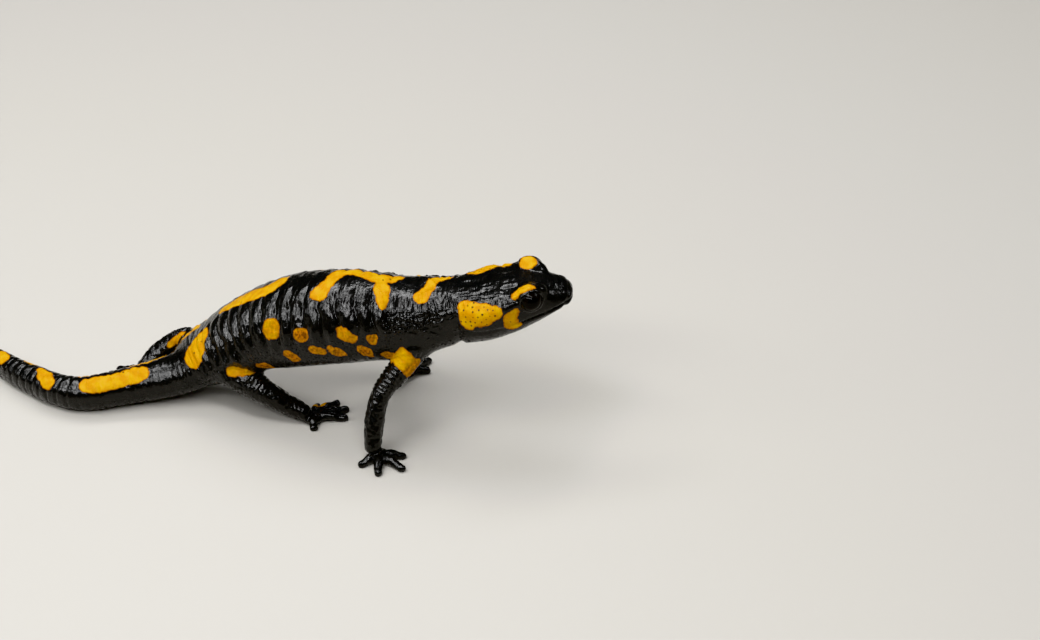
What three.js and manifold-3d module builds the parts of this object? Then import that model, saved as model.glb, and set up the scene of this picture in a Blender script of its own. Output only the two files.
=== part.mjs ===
// A fire salamander (Salamandra salamandra) at life size, standing with its chest and head raised on its
// front legs, its hips low and its tail swept along the floor in a loose S.
//
// Millimetres, +Z up, +X from the tail towards the snout and +Y to the animal's left. The origin lies on
// the floor, under the middle of the animal. The body is one smooth sweep from snout to tail tip, parted
// by thin cuts into head, lower jaw, neck, torso and three lengths of tail. Each leg is a sweep parted at
// the elbow or knee and at the wrist or ankle, and each foot is a pad with its toes.
import * as THREE from "three";
import { mergeVertices } from "three/addons/utils/BufferGeometryUtils.js";
import Module from "manifold-3d";

const wasm = await Module();
wasm.setup();

// ---- Driving dimensions ----
const GAP = 0.3; // left between nodes that meet
const HEAD = 18.6; // widest, across the parotoid glands
const TRUNK = 22.4; // widest, at the belly
const TAIL = 8.8; // across the root of the tail
const ARM = 5.6; // thickness of the upper arm
const THIGH = 7.0;
const CHEST_HEIGHT = 28.8; // of the body's line above the floor, at the shoulders
const HIP_HEIGHT = 11.9;
const EYE = 2.75; // radius of the eyeball
const LID = 0.4; // thickness of the eyelids, outside the eye's clearance
const STANCE_CENTRE = [-37.89, 22.46]; // middle of the animal, in the frame that its stations are given in

// ---- Materials ----
const SKIN = new THREE.MeshStandardMaterial({ color: 0x10110f, roughness: 0.35, metalness: 0 });
const EYEBALL = new THREE.MeshStandardMaterial({ color: 0x080605, roughness: 0.1, metalness: 0 });

// ---- Stations of the body: centre, half width, half height above and below it, squareness ----
const station = (at, half, square = 2) => ({ at, half, square });
const BODY = {
  lips: station([41.9, 16.9, 35.8], [0.42 * HEAD / 2, 2.0, 2.6], 2.3),
  nostrils: station([40.0, 16.8, 36.0], [0.56 * HEAD / 2, 2.7, 3.3], 2.5),
  eyes: station([33.8, 16.5, 35.3], [0.78 * HEAD / 2, 4.9, 5.6], 2.7),
  parotoids: station([24.5, 16.9, 32.6], [HEAD / 2, 5.8, 6.9], 2.6),
  neck: station([16.0, 17.8, 30.6], [0.88 * HEAD / 2, 6.3, 7.7], 2.4),
  shoulders: station([6.5, 18.4, CHEST_HEIGHT], [0.83 * TRUNK / 2, 7.6, 9.4], 2.3),
  ribs: station([-6.5, 20.0, CHEST_HEIGHT - 1.8], [0.95 * TRUNK / 2, 10.2, 10.0], 2.2),
  belly: station([-19.0, 23.4, HIP_HEIGHT + 11.4], [TRUNK / 2, 10.6, 9.6], 2.2),
  loin: station([-30.0, 27.0, HIP_HEIGHT + 5.7], [0.9 * TRUNK / 2, 9.2, 7.8], 2.2),
  hips: station([-40.0, 28.8, HIP_HEIGHT - 0.7], [0.71 * TRUNK / 2, 6.8, 6.4], 2.2),
  vent: station([-48.0, 27.4, 7.1], [0.66 * TAIL, 4.1, 5.3], 2.1),
  tailRoot: station([-58.0, 25.2, 5.4], [TAIL / 2, 3.7, 5.1]),
  tailBend: station([-72.0, 22.8, 4.2], [0.87 * TAIL / 2, 3.5, 4.4]),
  tailSweep: station([-84.0, 30.0, 3.4], [0.74 * TAIL / 2, 3.2, 3.6]),
  tailThin: station([-95.0, 40.0, 2.7], [0.54 * TAIL / 2, 2.4, 2.8]),
  tailSlim: station([-107.0, 47.0, 1.8], [0.34 * TAIL / 2, 1.6, 1.9]),
  tailTip: station([-118.0, 49.5, 0.9], [0.155 * TAIL / 2, 0.8, 1.0]),
};
const STATION_NAMES = Object.keys(BODY);
const at = (name, ahead = 0) => STATION_NAMES.indexOf(name) + ahead; // place along the body, in stations

// ---- Sweeps ----
const catmullRom = (points) => new THREE.CatmullRomCurve3(points, false, "catmullrom", 0.5);
const vector = (v) => new THREE.Vector3(...v);

// A smooth path through stations. reference is the direction that the sections' upper side leans to.
function pathThrough(stations, reference = [0, 0, 1]) {
  return {
    line: catmullRom(stations.map((s) => vector(s.at))),
    girth: catmullRom(stations.map((s) => vector(s.half))),
    square: stations.map((s) => s.square),
    reference: vector(reference),
    last: stations.length - 1,
  };
}

// The section of a path at place u, counted in stations.
function sectionAt(path, u) {
  const t = u / path.last;
  const before = Math.min(Math.floor(u), path.last - 1);
  const ahead = path.line.getTangent(t);
  const side = new THREE.Vector3().crossVectors(path.reference, ahead).normalize();
  return {
    centre: path.line.getPoint(t),
    ahead,
    side,
    up: new THREE.Vector3().crossVectors(ahead, side),
    half: path.girth.getPoint(t),
    square: THREE.MathUtils.lerp(path.square[before], path.square[before + 1], u - before),
  };
}

// A point on the rim of a section: angle 0 is its side, a quarter turn its top. shrink draws it in
// towards the centre, and raise lifts it off the surface.
function rimPoint(section, angle, shrink = 1, raise = 0) {
  const round = (v) => Math.sign(v) * Math.abs(v) ** (2 / section.square);
  const x = section.half.x * round(Math.cos(angle));
  const height = Math.sin(angle) > 0 ? section.half.y : section.half.z;
  const y = height * round(Math.sin(angle));
  const out = 1 + raise / Math.hypot(x, y);
  return section.centre
    .clone()
    .addScaledVector(section.side, x * out * shrink)
    .addScaledVector(section.up, y * out * shrink);
}

// The closed sweep along a path from place u0 to u1, with rings every spacing mm. A dome, where one is
// given, rounds that end by its length; an end without one is flat. relief(u, angle) raises the surface.
function sweep(path, u0, u1, form) {
  const { spacing, sides, dome0 = 0, dome1 = 0, domeRings = 4, grow = 0, relief = () => 0 } = form;
  const sections = [];
  const run = path.line.getPoint(u0 / path.last).distanceTo(path.line.getPoint(u1 / path.last));
  const steps = Math.max(2, Math.round(run / spacing));
  const domed = (u, length) => {
    for (let i = 1; i < domeRings; i++) {
      const turn = (i / domeRings) * (Math.PI / 2);
      const s = sectionAt(path, u);
      s.centre.addScaledVector(s.ahead, length * Math.sin(turn));
      sections.push({ s, u, shrink: Math.cos(turn) });
    }
  };
  if (dome0) {
    domed(u0, -dome0);
    sections.reverse();
  }
  for (let i = 0; i <= steps; i++) {
    const u = u0 + ((u1 - u0) * i) / steps;
    sections.push({ s: sectionAt(path, u), u, shrink: 1 });
  }
  if (dome1) domed(u1, dome1);

  const points = sections.flatMap(({ s, u, shrink }) =>
    Array.from({ length: sides }, (_, k) => {
      const angle = (k / sides) * 2 * Math.PI;
      return rimPoint(s, angle, shrink, grow + relief(u, angle));
    }),
  );
  const first = sectionAt(path, u0);
  const end = sectionAt(path, u1);
  points.push(first.centre.addScaledVector(first.ahead, -dome0));
  points.push(end.centre.addScaledVector(end.ahead, dome1));

  const faces = [];
  const rows = sections.length;
  for (let i = 0; i + 1 < rows; i++) {
    for (let k = 0; k < sides; k++) {
      const next = (k + 1) % sides;
      const [a, b] = [i * sides + k, i * sides + next];
      const [c, d] = [a + sides, b + sides];
      faces.push(a, b, c, b, d, c);
    }
  }
  const [hub0, hub1] = [points.length - 2, points.length - 1];
  const lastRow = (rows - 1) * sides;
  for (let k = 0; k < sides; k++) {
    const next = (k + 1) % sides;
    faces.push(hub0, next, k, hub1, lastRow + k, lastRow + next);
  }
  return new THREE.BufferGeometry().setFromPoints(points).setIndex(faces);
}

// ---- Solids ----
const FINEST = 1e-4; // mm, below which two vertices are one
function solid(geometry) {
  const bare = geometry.clone();
  for (const name of ["normal", "uv"]) bare.deleteAttribute(name);
  const merged = mergeVertices(bare, FINEST);
  const made = new wasm.Manifold(
    new wasm.Mesh({
      numProp: 3,
      vertProperties: new Float32Array(merged.attributes.position.array),
      triVerts: new Uint32Array(merged.index.array),
    }),
  );
  if (made.volume() > 0) return made;
  merged.setIndex(Array.from(merged.index.array).reverse());
  return solid(merged);
}

const joined = (solids) => solids.reduce((a, b) => a.add(b));
const bySize = (made) => made.decompose().sort((a, b) => b.volume() - a.volume());
const largest = (made) => bySize(made)[0];

const group = new THREE.Group();
function addNode(name, made, material = SKIN) {
  const { vertProperties, triVerts } = made.getMesh();
  const geometry = new THREE.BufferGeometry()
    .setAttribute("position", new THREE.BufferAttribute(new Float32Array(vertProperties), 3))
    .setIndex(new THREE.BufferAttribute(new Uint32Array(triVerts), 1));
  geometry.computeVertexNormals();
  const mesh = new THREE.Mesh(geometry, material);
  mesh.name = name;
  group.add(mesh);
}

// A ball, stretched along its own axes, which basis turns.
function ball(centre, radii, segments, basis = new THREE.Matrix4()) {
  const geometry = new THREE.SphereGeometry(1, segments, Math.round(segments * 0.6));
  geometry.scale(...radii).applyMatrix4(basis).translate(...centre);
  return solid(geometry);
}

// Everything under the floor, which the soles and the tail are cut flat by.
const FLOOR = solid(new THREE.BoxGeometry(400, 400, 20).translate(0, 0, -10));

// ---- Relief of the skin ----
const bump = (x, centre, reach) => {
  const near = Math.max(0, 1 - ((x - centre) / reach) ** 2);
  return near * near;
};
// How far an angle on the rim lies above the side line, the same on both sides.
const rise = (angle) => Math.asin(Math.sin(angle));
const radians = THREE.MathUtils.degToRad;

// The parotoid glands: a long swelling behind each eye.
const PAROTOID = {
  along: at("parotoids", -0.15),
  reach: 0.85,
  rise: radians(24),
  spread: radians(46),
  swell: 1.5,
};
// The brow and cheek swell round each eye.
const SOCKET = { along: at("eyes", 0.05), reach: 0.75, rise: radians(32), spread: radians(52), swell: 0.9 };
// Costal grooves: upright furrows between the ribs, deepest on the flanks.
const GROOVES = { count: 12, depth: 0.45, from: at("shoulders", 0.25), to: at("hips", 0.2) };
// The gular fold, a crease across the throat.
const GULAR_FOLD = { along: at("parotoids", 0.86), reach: 0.2, depth: 0.4 };

function bodyRelief(u, angle) {
  const gland = bump(u, PAROTOID.along, PAROTOID.reach) * bump(rise(angle), PAROTOID.rise, PAROTOID.spread);
  const socket = bump(u, SOCKET.along, SOCKET.reach) * bump(rise(angle), SOCKET.rise, SOCKET.spread);
  const along = (u - GROOVES.from) / (GROOVES.to - GROOVES.from);
  const fade = Math.max(0, Math.sin(Math.PI * THREE.MathUtils.clamp(along, 0, 1))) ** 0.5;
  const flank = bump(rise(angle), 0, radians(75));
  const furrow = Math.cos(2 * Math.PI * GROOVES.count * along) * fade * flank;
  const below = bump(rise(angle), radians(-90), radians(95));
  const fold = bump(u, GULAR_FOLD.along, GULAR_FOLD.reach) * below;
  return (
    PAROTOID.swell * gland +
    SOCKET.swell * socket +
    (GROOVES.depth / 2) * furrow -
    GULAR_FOLD.depth * fold
  );
}

// ---- Body ----
const bodyPath = pathThrough(Object.values(BODY));
const SNOUT_DOME = 1.5;
const TAIL_DOME = 1.2;
// Where the body is parted, in stations.
const CUTS = {
  head: [at("lips"), at("neck", -0.05)],
  neck: [at("neck", -0.05), at("neck", 0.52)],
  torso: [at("neck", 0.52), at("vent", 0.15)],
  tail_base: [at("vent", 0.15), at("tailBend", -0.35)],
  tail_middle: [at("tailBend", -0.35), at("tailThin", -0.3)],
  tail_tip: [at("tailThin", -0.3), at("tailTip")],
};
const FINENESS = {
  head: { spacing: 1.0, sides: 34, dome0: SNOUT_DOME, domeRings: 3 },
  neck: { spacing: 1.6, sides: 30 },
  torso: { spacing: 1.35, sides: 30 },
  tail_base: { spacing: 2.4, sides: 20 },
  tail_middle: { spacing: 2.2, sides: 16 },
  tail_tip: { spacing: 2.2, sides: 12, dome1: TAIL_DOME, domeRings: 2 },
};
function lengthOfBody(name, grow = 0) {
  const [u0, u1] = CUTS[name];
  const perStation = bodyPath.line.getPoint((u0 + 0.05) / bodyPath.last).distanceTo(
    bodyPath.line.getPoint(u0 / bodyPath.last)) / 0.05;
  const start = name === "head" ? u0 : u0 + GAP / perStation;
  return solid(sweep(bodyPath, start, u1, { ...FINENESS[name], grow, relief: bodyRelief }));
}
for (const name of ["neck", "torso"]) addNode(name, lengthOfBody(name));
for (const name of ["tail_base", "tail_middle", "tail_tip"]) {
  addNode(name, largest(lengthOfBody(name).subtract(FLOOR)));
}
const trunkClearance = lengthOfBody("torso", GAP).add(lengthOfBody("neck", GAP));

// ---- Head ----
const headSection = sectionAt(bodyPath, at("eyes"));
const FORWARD = headSection.ahead.clone().negate(); // the body's path runs from the snout to the tail
const LEFT = headSection.side.clone().negate();
const CROWN = headSection.up;
// A place in the head: forward, left and up from the middle of the head between the eyes.
const inHead = (forward, left, up) =>
  headSection.centre
    .clone()
    .addScaledVector(FORWARD, forward)
    .addScaledVector(LEFT, left)
    .addScaledVector(CROWN, up);

const EYE_PLACE = { forward: 0.6, left: 6.5, up: 2.7 };
// The ridge that each lid rises from.
const BROW = { long: 5.0, tall: 2.7, wide: 3.0, inward: 1.3, back: 0.3, lift: 0.3 };
const LOOK = { forward: 0.3, left: 0.94, up: 0.12 }; // which way the eye's opening faces
const OPENING = { long: 2.6, tall: 2.2, deep: 2.2, out: 2.8, drop: 0.35 };
const NOSTRIL = { forward: 7.6, left: 3.1, up: 1.7, radius: 0.45 };
const EYE_SIDES = 16;

const lids = [];
const hollows = [];
for (const [name, hand] of [["left", 1], ["right", -1]]) {
  const centre = inHead(EYE_PLACE.forward, hand * EYE_PLACE.left, EYE_PLACE.up);
  const look = new THREE.Vector3()
    .addScaledVector(FORWARD, LOOK.forward)
    .addScaledVector(LEFT, hand * LOOK.left)
    .addScaledVector(CROWN, LOOK.up)
    .normalize();
  const along = new THREE.Vector3().crossVectors(CROWN, look).normalize();
  const turned = new THREE.Matrix4().makeBasis(along, new THREE.Vector3().crossVectors(look, along), look);
  const mouthOfLids = centre.clone().addScaledVector(look, OPENING.out).addScaledVector(CROWN, -OPENING.drop);
  const root = centre
    .clone()
    .addScaledVector(look, -BROW.inward)
    .addScaledVector(FORWARD, -BROW.back)
    .addScaledVector(CROWN, BROW.lift);
  lids.push(ball(centre, Array(3).fill(EYE + GAP + LID), EYE_SIDES));
  lids.push(ball(root, [BROW.long, BROW.tall, BROW.wide], EYE_SIDES, turned));
  hollows.push(ball(centre, Array(3).fill(EYE + GAP), EYE_SIDES));
  hollows.push(ball(mouthOfLids, [OPENING.long, OPENING.tall, OPENING.deep], 12, turned));
  const nostril = inHead(NOSTRIL.forward, hand * NOSTRIL.left, NOSTRIL.up);
  hollows.push(ball(nostril, Array(3).fill(NOSTRIL.radius), 7));
  addNode(`eye_${name}`, ball(centre, Array(3).fill(EYE), EYE_SIDES), EYEBALL);
}

// The line of the mouth, seen from the side as forward and up in the head: back from the snout to the
// corner behind the eye, then down to the throat, where it parts the lower jaw from the head.
const MOUTH_LINE = [[14, -1.4], [8, -1.5], [3, -1.9], [-2, -2.2], [-5.6, -2.6], [-7.6, -4.4], [-8.2, -12]];
const MOUTH_STEPS = 14;
const MOUTH_WIDTH = 30;
function mouthSheet() {
  const places = MOUTH_LINE.map(([x, y]) => new THREE.Vector2(x, y));
  const line = new THREE.SplineCurve(places).getPoints(MOUTH_STEPS);
  const normals = line.map((_, i) => {
    const along = line[Math.min(i + 1, line.length - 1)].clone().sub(line[Math.max(i - 1, 0)]);
    return new THREE.Vector2(-along.y, along.x).normalize().multiplyScalar(GAP / 2);
  });
  const upper = line.map((p, i) => p.clone().add(normals[i]));
  const lower = line.map((p, i) => p.clone().sub(normals[i]));
  const outline = new THREE.Shape([...upper, ...lower.reverse()]);
  const sheet = new THREE.ExtrudeGeometry(outline, { depth: MOUTH_WIDTH, bevelEnabled: false });
  sheet.translate(0, 0, -MOUTH_WIDTH / 2);
  const basis = new THREE.Matrix4().makeBasis(FORWARD, CROWN, LEFT.clone().negate());
  return solid(sheet.applyMatrix4(basis).translate(...headSection.centre));
}
const wholeHead = joined([lengthOfBody("head"), ...lids]).subtract(joined(hollows));
const [head, lowerJaw] = bySize(wholeHead.subtract(mouthSheet()));
addNode("head", head);
addNode("lower_jaw", lowerJaw);

// ---- Legs ----
// Stations from inside the trunk to the wrist or ankle. joint is the elbow's or knee's place among them.
const limbStation = (place, radius, flat) => station(place, [radius, flat * radius, flat * radius]);
const armStation = (place, share) => limbStation(place, share * ARM / 2, 0.92);
const legStation = (place, share) => limbStation(place, share * THIGH / 2, 0.94);
const FORE = { upper: "upper_arm", lower: "forearm", foot: "hand", joint: 2, reference: [1, 0, 0] };
const HIND = { upper: "thigh", lower: "shank", foot: "foot", joint: 2, reference: [0, 0, 1] };
const LEGS = [
  {
    ...FORE,
    hand: "right",
    stations: [
      armStation([9.0, 16.2, 26.6], 1.3),
      armStation([6.4, 11.4, 21.4], 1.06),
      armStation([0.4, 7.2, 15.2], 0.84),
      armStation([-1.6, 4.3, 8.8], 0.87),
      armStation([-1.9, 1.9, 3.4], 0.72),
    ],
    palm: [-0.6, 1.4],
    toes: [[-146, 4.6], [-90, 5.8], [-38, 6.8], [8, 5.4]],
  },
  {
    ...FORE,
    hand: "left",
    stations: [
      armStation([9.4, 21.2, 26.4], 1.3),
      armStation([7.4, 26.2, 22.4], 1.08),
      armStation([1.6, 32.8, 15.4], 0.94),
      armStation([2.0, 34.8, 8.8], 0.92),
      armStation([3.6, 35.8, 3.4], 0.72),
    ],
    palm: [4.6, 36.4],
    toes: [[8, 4.8], [44, 6.8], [82, 6.6], [124, 5.2]],
  },
  {
    ...HIND,
    hand: "right",
    stations: [
      legStation([-39.4, 27.8, 10.4], 1.25),
      legStation([-35.4, 21.8, 11.0], 1.08),
      legStation([-28.4, 18.0, 8.2], 0.84),
      legStation([-22.6, 17.4, 4.6], 0.72),
      legStation([-18.6, 16.7, 2.7], 0.58),
    ],
    palm: [-16.6, 16.9],
    toes: [[-83, 3.7], [2, 7.4], [27, 8.3], [50, 8.2], [82, 5.0]],
  },
  {
    ...HIND,
    hand: "left",
    stations: [
      legStation([-40.4, 30.4, 10.4], 1.25),
      legStation([-43.8, 35.0, 9.4], 1.06),
      legStation([-49.2, 38.8, 7.8], 0.82),
      legStation([-54.0, 37.8, 5.2], 0.72),
      legStation([-57.4, 35.4, 2.9], 0.58),
    ],
    palm: [-58.8, 34.4],
    toes: [[118, 4.2], [148, 5.8], [172, 6.8], [196, 6.6], [226, 4.8]],
  },
];
const SOLE = 0.15; // how far pads and toes press below the floor's level before they are cut flat
const PALM = { long: 2.6, wide: 2.4, thick: 1.35 };
const WRIST_SHARE = 0.8; // of the last stretch of a leg, past which it belongs to the foot
const TOE = { root: 1.12, knuckle: 1.06, tip: 0.86, arch: 1.6, sides: 7 };

// A toe from the middle of its pad, over its knuckle and down to its rounded tip.
function toe([x, y], degrees, reach) {
  const turn = radians(degrees);
  const place = (share, z) => [x + reach * share * Math.cos(turn), y + reach * share * Math.sin(turn), z];
  const stations = [
    station(place(0.1, TOE.root - SOLE), [TOE.root, TOE.root, TOE.root]),
    station(place(0.5, TOE.arch - SOLE), [TOE.knuckle, TOE.knuckle, TOE.knuckle]),
    station(place(0.8, TOE.knuckle - SOLE), [TOE.knuckle * 0.86, TOE.knuckle * 0.8, TOE.knuckle * 0.8]),
    station(place(1, TOE.tip - SOLE), [TOE.tip, TOE.tip * 0.9, TOE.tip]),
  ];
  const fine = { spacing: 1.4, sides: TOE.sides, dome1: TOE.tip, domeRings: 2 };
  return solid(sweep(pathThrough(stations), 0, 3, fine));
}

for (const leg of LEGS) {
  const path = pathThrough(leg.stations, leg.reference);
  const placeAt = (u) => path.line.getPoint(u / path.last);
  const gapAt = (u) => GAP / placeAt(u - 0.05).distanceTo(placeAt(u)) * 0.05;
  const fine = { spacing: 1.6, sides: 14 };
  const wrist = path.last - 1 + WRIST_SHARE;
  const upper = solid(sweep(path, 0, leg.joint, fine));
  addNode(`${leg.upper}_${leg.hand}`, largest(upper.subtract(trunkClearance)));
  addNode(`${leg.lower}_${leg.hand}`, solid(sweep(path, leg.joint + gapAt(leg.joint), wrist, fine)));

  const ankle = solid(sweep(path, wrist + gapAt(wrist), path.last, { ...fine, dome1: 1.6, domeRings: 2 }));
  const pad = ball([...leg.palm, PALM.thick - SOLE], [PALM.long, PALM.wide, PALM.thick], 12);
  const toes = leg.toes.map(([degrees, reach]) => toe(leg.palm, degrees, reach));
  addNode(`${leg.foot}_${leg.hand}`, largest(joined([ankle, pad, ...toes]).subtract(FLOOR)));
}

group.position.set(-STANCE_CENTRE[0], -STANCE_CENTRE[1], 0);
export default group;
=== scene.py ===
"""A fire salamander at life size, standing with its chest raised, dressed over its solids.

One wet skin covers the whole body, from the lips to the tail tip and the toes. It is swept through the
same stations as the solids, fused, folded and wrinkled, and carries the yellow markings as a distance
field. The eyeballs, the skin's tubercles and the pores of its poison glands are pieces of their own.

The stance is laid out in millimetres, with +X towards the snout and +Y to the animal's left, and is
turned to metres in the frame of the solids at the end.
"""
import functools
import itertools
import math
from types import SimpleNamespace as Sizes

import bpy
import numpy as np
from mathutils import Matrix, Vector


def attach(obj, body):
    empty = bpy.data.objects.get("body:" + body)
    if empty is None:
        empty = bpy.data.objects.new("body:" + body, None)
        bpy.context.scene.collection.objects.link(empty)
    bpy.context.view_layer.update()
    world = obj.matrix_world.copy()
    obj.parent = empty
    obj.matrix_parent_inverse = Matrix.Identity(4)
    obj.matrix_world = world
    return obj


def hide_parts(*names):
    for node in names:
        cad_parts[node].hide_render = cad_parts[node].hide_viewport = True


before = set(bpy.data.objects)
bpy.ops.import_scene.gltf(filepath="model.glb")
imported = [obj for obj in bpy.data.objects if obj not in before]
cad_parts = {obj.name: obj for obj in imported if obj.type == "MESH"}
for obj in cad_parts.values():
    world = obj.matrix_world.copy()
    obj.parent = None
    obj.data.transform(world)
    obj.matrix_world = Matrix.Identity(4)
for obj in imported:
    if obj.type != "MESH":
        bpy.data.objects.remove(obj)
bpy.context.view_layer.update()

MM = 0.001
STANCE_CENTRE = np.array([-37.89, 22.46, 0.0])  # middle of the animal on the floor, in the stance's own frame

# ---- Driving dimensions, in mm ----
HEAD = 18.6
TRUNK = 22.4
TAIL = 8.8
ARM = 5.6
THIGH = 7.0
CHEST_HEIGHT = 28.8
HIP_HEIGHT = 11.9
EYE = 2.75
LID = 0.4
EYE_CLEARANCE = 0.3

ROUND = 2.0  # the squareness of a round section
VOXEL = 0.21  # grid that the parts of the body are fused on
SKIN_TRIANGLES = 192_000
MOST_DOMES = 3e7  # on each square metre, before they are thinned to their spacing


# ---- Small helpers ----
def linear(hex_colour, alpha=1.0):
    """An sRGB hex colour as the linear colour that the shaders take."""
    channels = [int(hex_colour[i : i + 2], 16) / 255 for i in (1, 3, 5)]
    low = [c / 12.92 if c <= 0.04045 else ((c + 0.055) / 1.055) ** 2.4 for c in channels]
    return (*low, alpha)


MATH, RANGE, MIX, NOISE = "ShaderNodeMath", "ShaderNodeMapRange", "ShaderNodeMix", "ShaderNodeTexNoise"
# A map range takes a value as input 0, its span as 1 and 2, and what that becomes as 3 and 4. The spans are
# from 0 to 1 where they aren't given. A mix takes its share as input 0 and its two colours as 6 and 7.
SOFT = dict(interpolation_type="SMOOTHSTEP")
COLOURS = dict(data_type="RGBA")
TIMES = dict(operation="MULTIPLY")


def plug(node, inputs):
    """Gives inputs of a node, by name or number, a value, another node or one of its outputs."""
    for key, value in inputs.items():
        if isinstance(value, bpy.types.Node):
            value = next(output for output in value.outputs if output.enabled)
        if isinstance(value, bpy.types.NodeSocket):
            node.id_data.links.new(value, node.inputs[key])
        else:
            node.inputs[key].default_value = value


def add(tree, kind, inputs={}, **settings):
    """Adds a node with its settings and inputs."""
    node = tree.nodes.new(kind)
    for name, value in settings.items():
        setattr(node, name, value)
    plug(node, inputs)
    return node


def bump(x, centre, reach):
    """A smooth hill of height 1 at centre that falls to 0 at reach on either side."""
    near = np.clip(1 - ((x - centre) / reach) ** 2, 0, None)
    return near * near


def step(low, high, x):
    """Rises smoothly from 0 at low to 1 at high."""
    t = np.clip((x - low) / (high - low), 0, 1)
    return t * t * (3 - 2 * t)


def unit(v):
    return v / np.linalg.norm(v, axis=-1, keepdims=True)


PRIMES = (73856093, 19349663, 83492791, 2654435761, 1274126177)  # large, so that nearby cells differ


def hashed(cell, seed):
    """A fixed random value from 0 to 1 for each cell of a lattice."""
    x, y, z = cell.T
    mixed = (x * PRIMES[0]) ^ (y * PRIMES[1]) ^ (z * PRIMES[2]) ^ (seed * PRIMES[3])
    mixed = ((mixed ^ (mixed >> 13)) * PRIMES[4]) & 0xFFFFFFFF
    return ((mixed ^ (mixed >> 16)) & 0xFFFF) / 65535


def noise(points, size, seed):
    """Smooth noise from -1 to 1 on a lattice of the given cell size, in mm."""
    scaled = np.asarray(points) / size
    cell = np.floor(scaled).astype(np.int64)
    t = scaled - cell
    t = t * t * (3 - 2 * t)
    total = np.zeros(len(scaled))
    for corner in itertools.product((0, 1), repeat=3):
        total += (2 * hashed(cell + corner, seed) - 1) * np.prod(np.where(corner, t, 1 - t), axis=1)
    return total


COBBLE_EDGE = 0.6  # how far the rounded edge of a cobble reaches in from its border, as a share of its size


def cells(points, size, seed):
    """Rounded cobbles in a random pattern of the given size, in mm: 0 between them and 1 on their tops."""
    scaled = np.asarray(points) / size
    home = np.floor(scaled).astype(np.int64)
    nearest = np.full(len(scaled), 9.0)
    second = nearest.copy()
    for around in itertools.product((-1, 0, 1), repeat=3):
        cell = home + around
        middle = cell + np.stack([hashed(cell, seed + axis) for axis in range(3)], 1)
        gap = np.linalg.norm(middle - scaled, axis=1)
        second = np.minimum(second, np.maximum(nearest, gap))
        nearest = np.minimum(nearest, gap)
    return 1 - (1 - np.clip((second - nearest) / COBBLE_EDGE, 0, 1)) ** 2


# ---- The stance: centre, half width, half height above and below it, squareness ----
BODY = {
    "lips": ([41.9, 16.9, 35.8], [0.42 * HEAD / 2, 2.0, 2.6], 2.3),
    "nostrils": ([40.0, 16.8, 36.0], [0.56 * HEAD / 2, 2.7, 3.3], 2.5),
    "eyes": ([33.8, 16.5, 35.3], [0.78 * HEAD / 2, 4.9, 5.6], 2.7),
    "parotoids": ([24.5, 16.9, 32.6], [HEAD / 2, 5.8, 6.9], 2.6),
    "neck": ([16.0, 17.8, 30.6], [0.88 * HEAD / 2, 6.3, 7.7], 2.4),
    "shoulders": ([6.5, 18.4, CHEST_HEIGHT], [0.83 * TRUNK / 2, 7.6, 9.4], 2.3),
    "ribs": ([-6.5, 20.0, CHEST_HEIGHT - 1.8], [0.95 * TRUNK / 2, 10.2, 10.0], 2.2),
    "belly": ([-19.0, 23.4, HIP_HEIGHT + 11.4], [TRUNK / 2, 10.6, 9.6], 2.2),
    "loin": ([-30.0, 27.0, HIP_HEIGHT + 5.7], [0.9 * TRUNK / 2, 9.2, 7.8], 2.2),
    "hips": ([-40.0, 28.8, HIP_HEIGHT - 0.7], [0.71 * TRUNK / 2, 6.8, 6.4], 2.2),
    "vent": ([-48.0, 27.4, 7.1], [0.66 * TAIL, 4.1, 5.3], 2.1),
    "tail_root": ([-58.0, 25.2, 5.4], [TAIL / 2, 3.7, 5.1], 2.0),
    "tail_bend": ([-72.0, 22.8, 4.2], [0.87 * TAIL / 2, 3.5, 4.4], 2.0),
    "tail_sweep": ([-84.0, 30.0, 3.4], [0.74 * TAIL / 2, 3.2, 3.6], 2.0),
    "tail_thin": ([-95.0, 40.0, 2.7], [0.54 * TAIL / 2, 2.4, 2.8], 2.0),
    "tail_slim": ([-107.0, 47.0, 1.8], [0.34 * TAIL / 2, 1.6, 1.9], 2.0),
    "tail_tip": ([-118.0, 49.5, 0.9], [0.155 * TAIL / 2, 0.8, 1.0], 2.0),
}
STATION = {name: i for i, name in enumerate(BODY)}
SNOUT_DOME = 1.5
TAIL_DOME = 1.2


def limb(stations, thickness, flat):
    """Stations of a leg, each a place and its share of the leg's thickness."""
    half = thickness / 2
    return [(at, [share * half] + [flat * share * half] * 2, ROUND) for at, share in stations]


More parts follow.
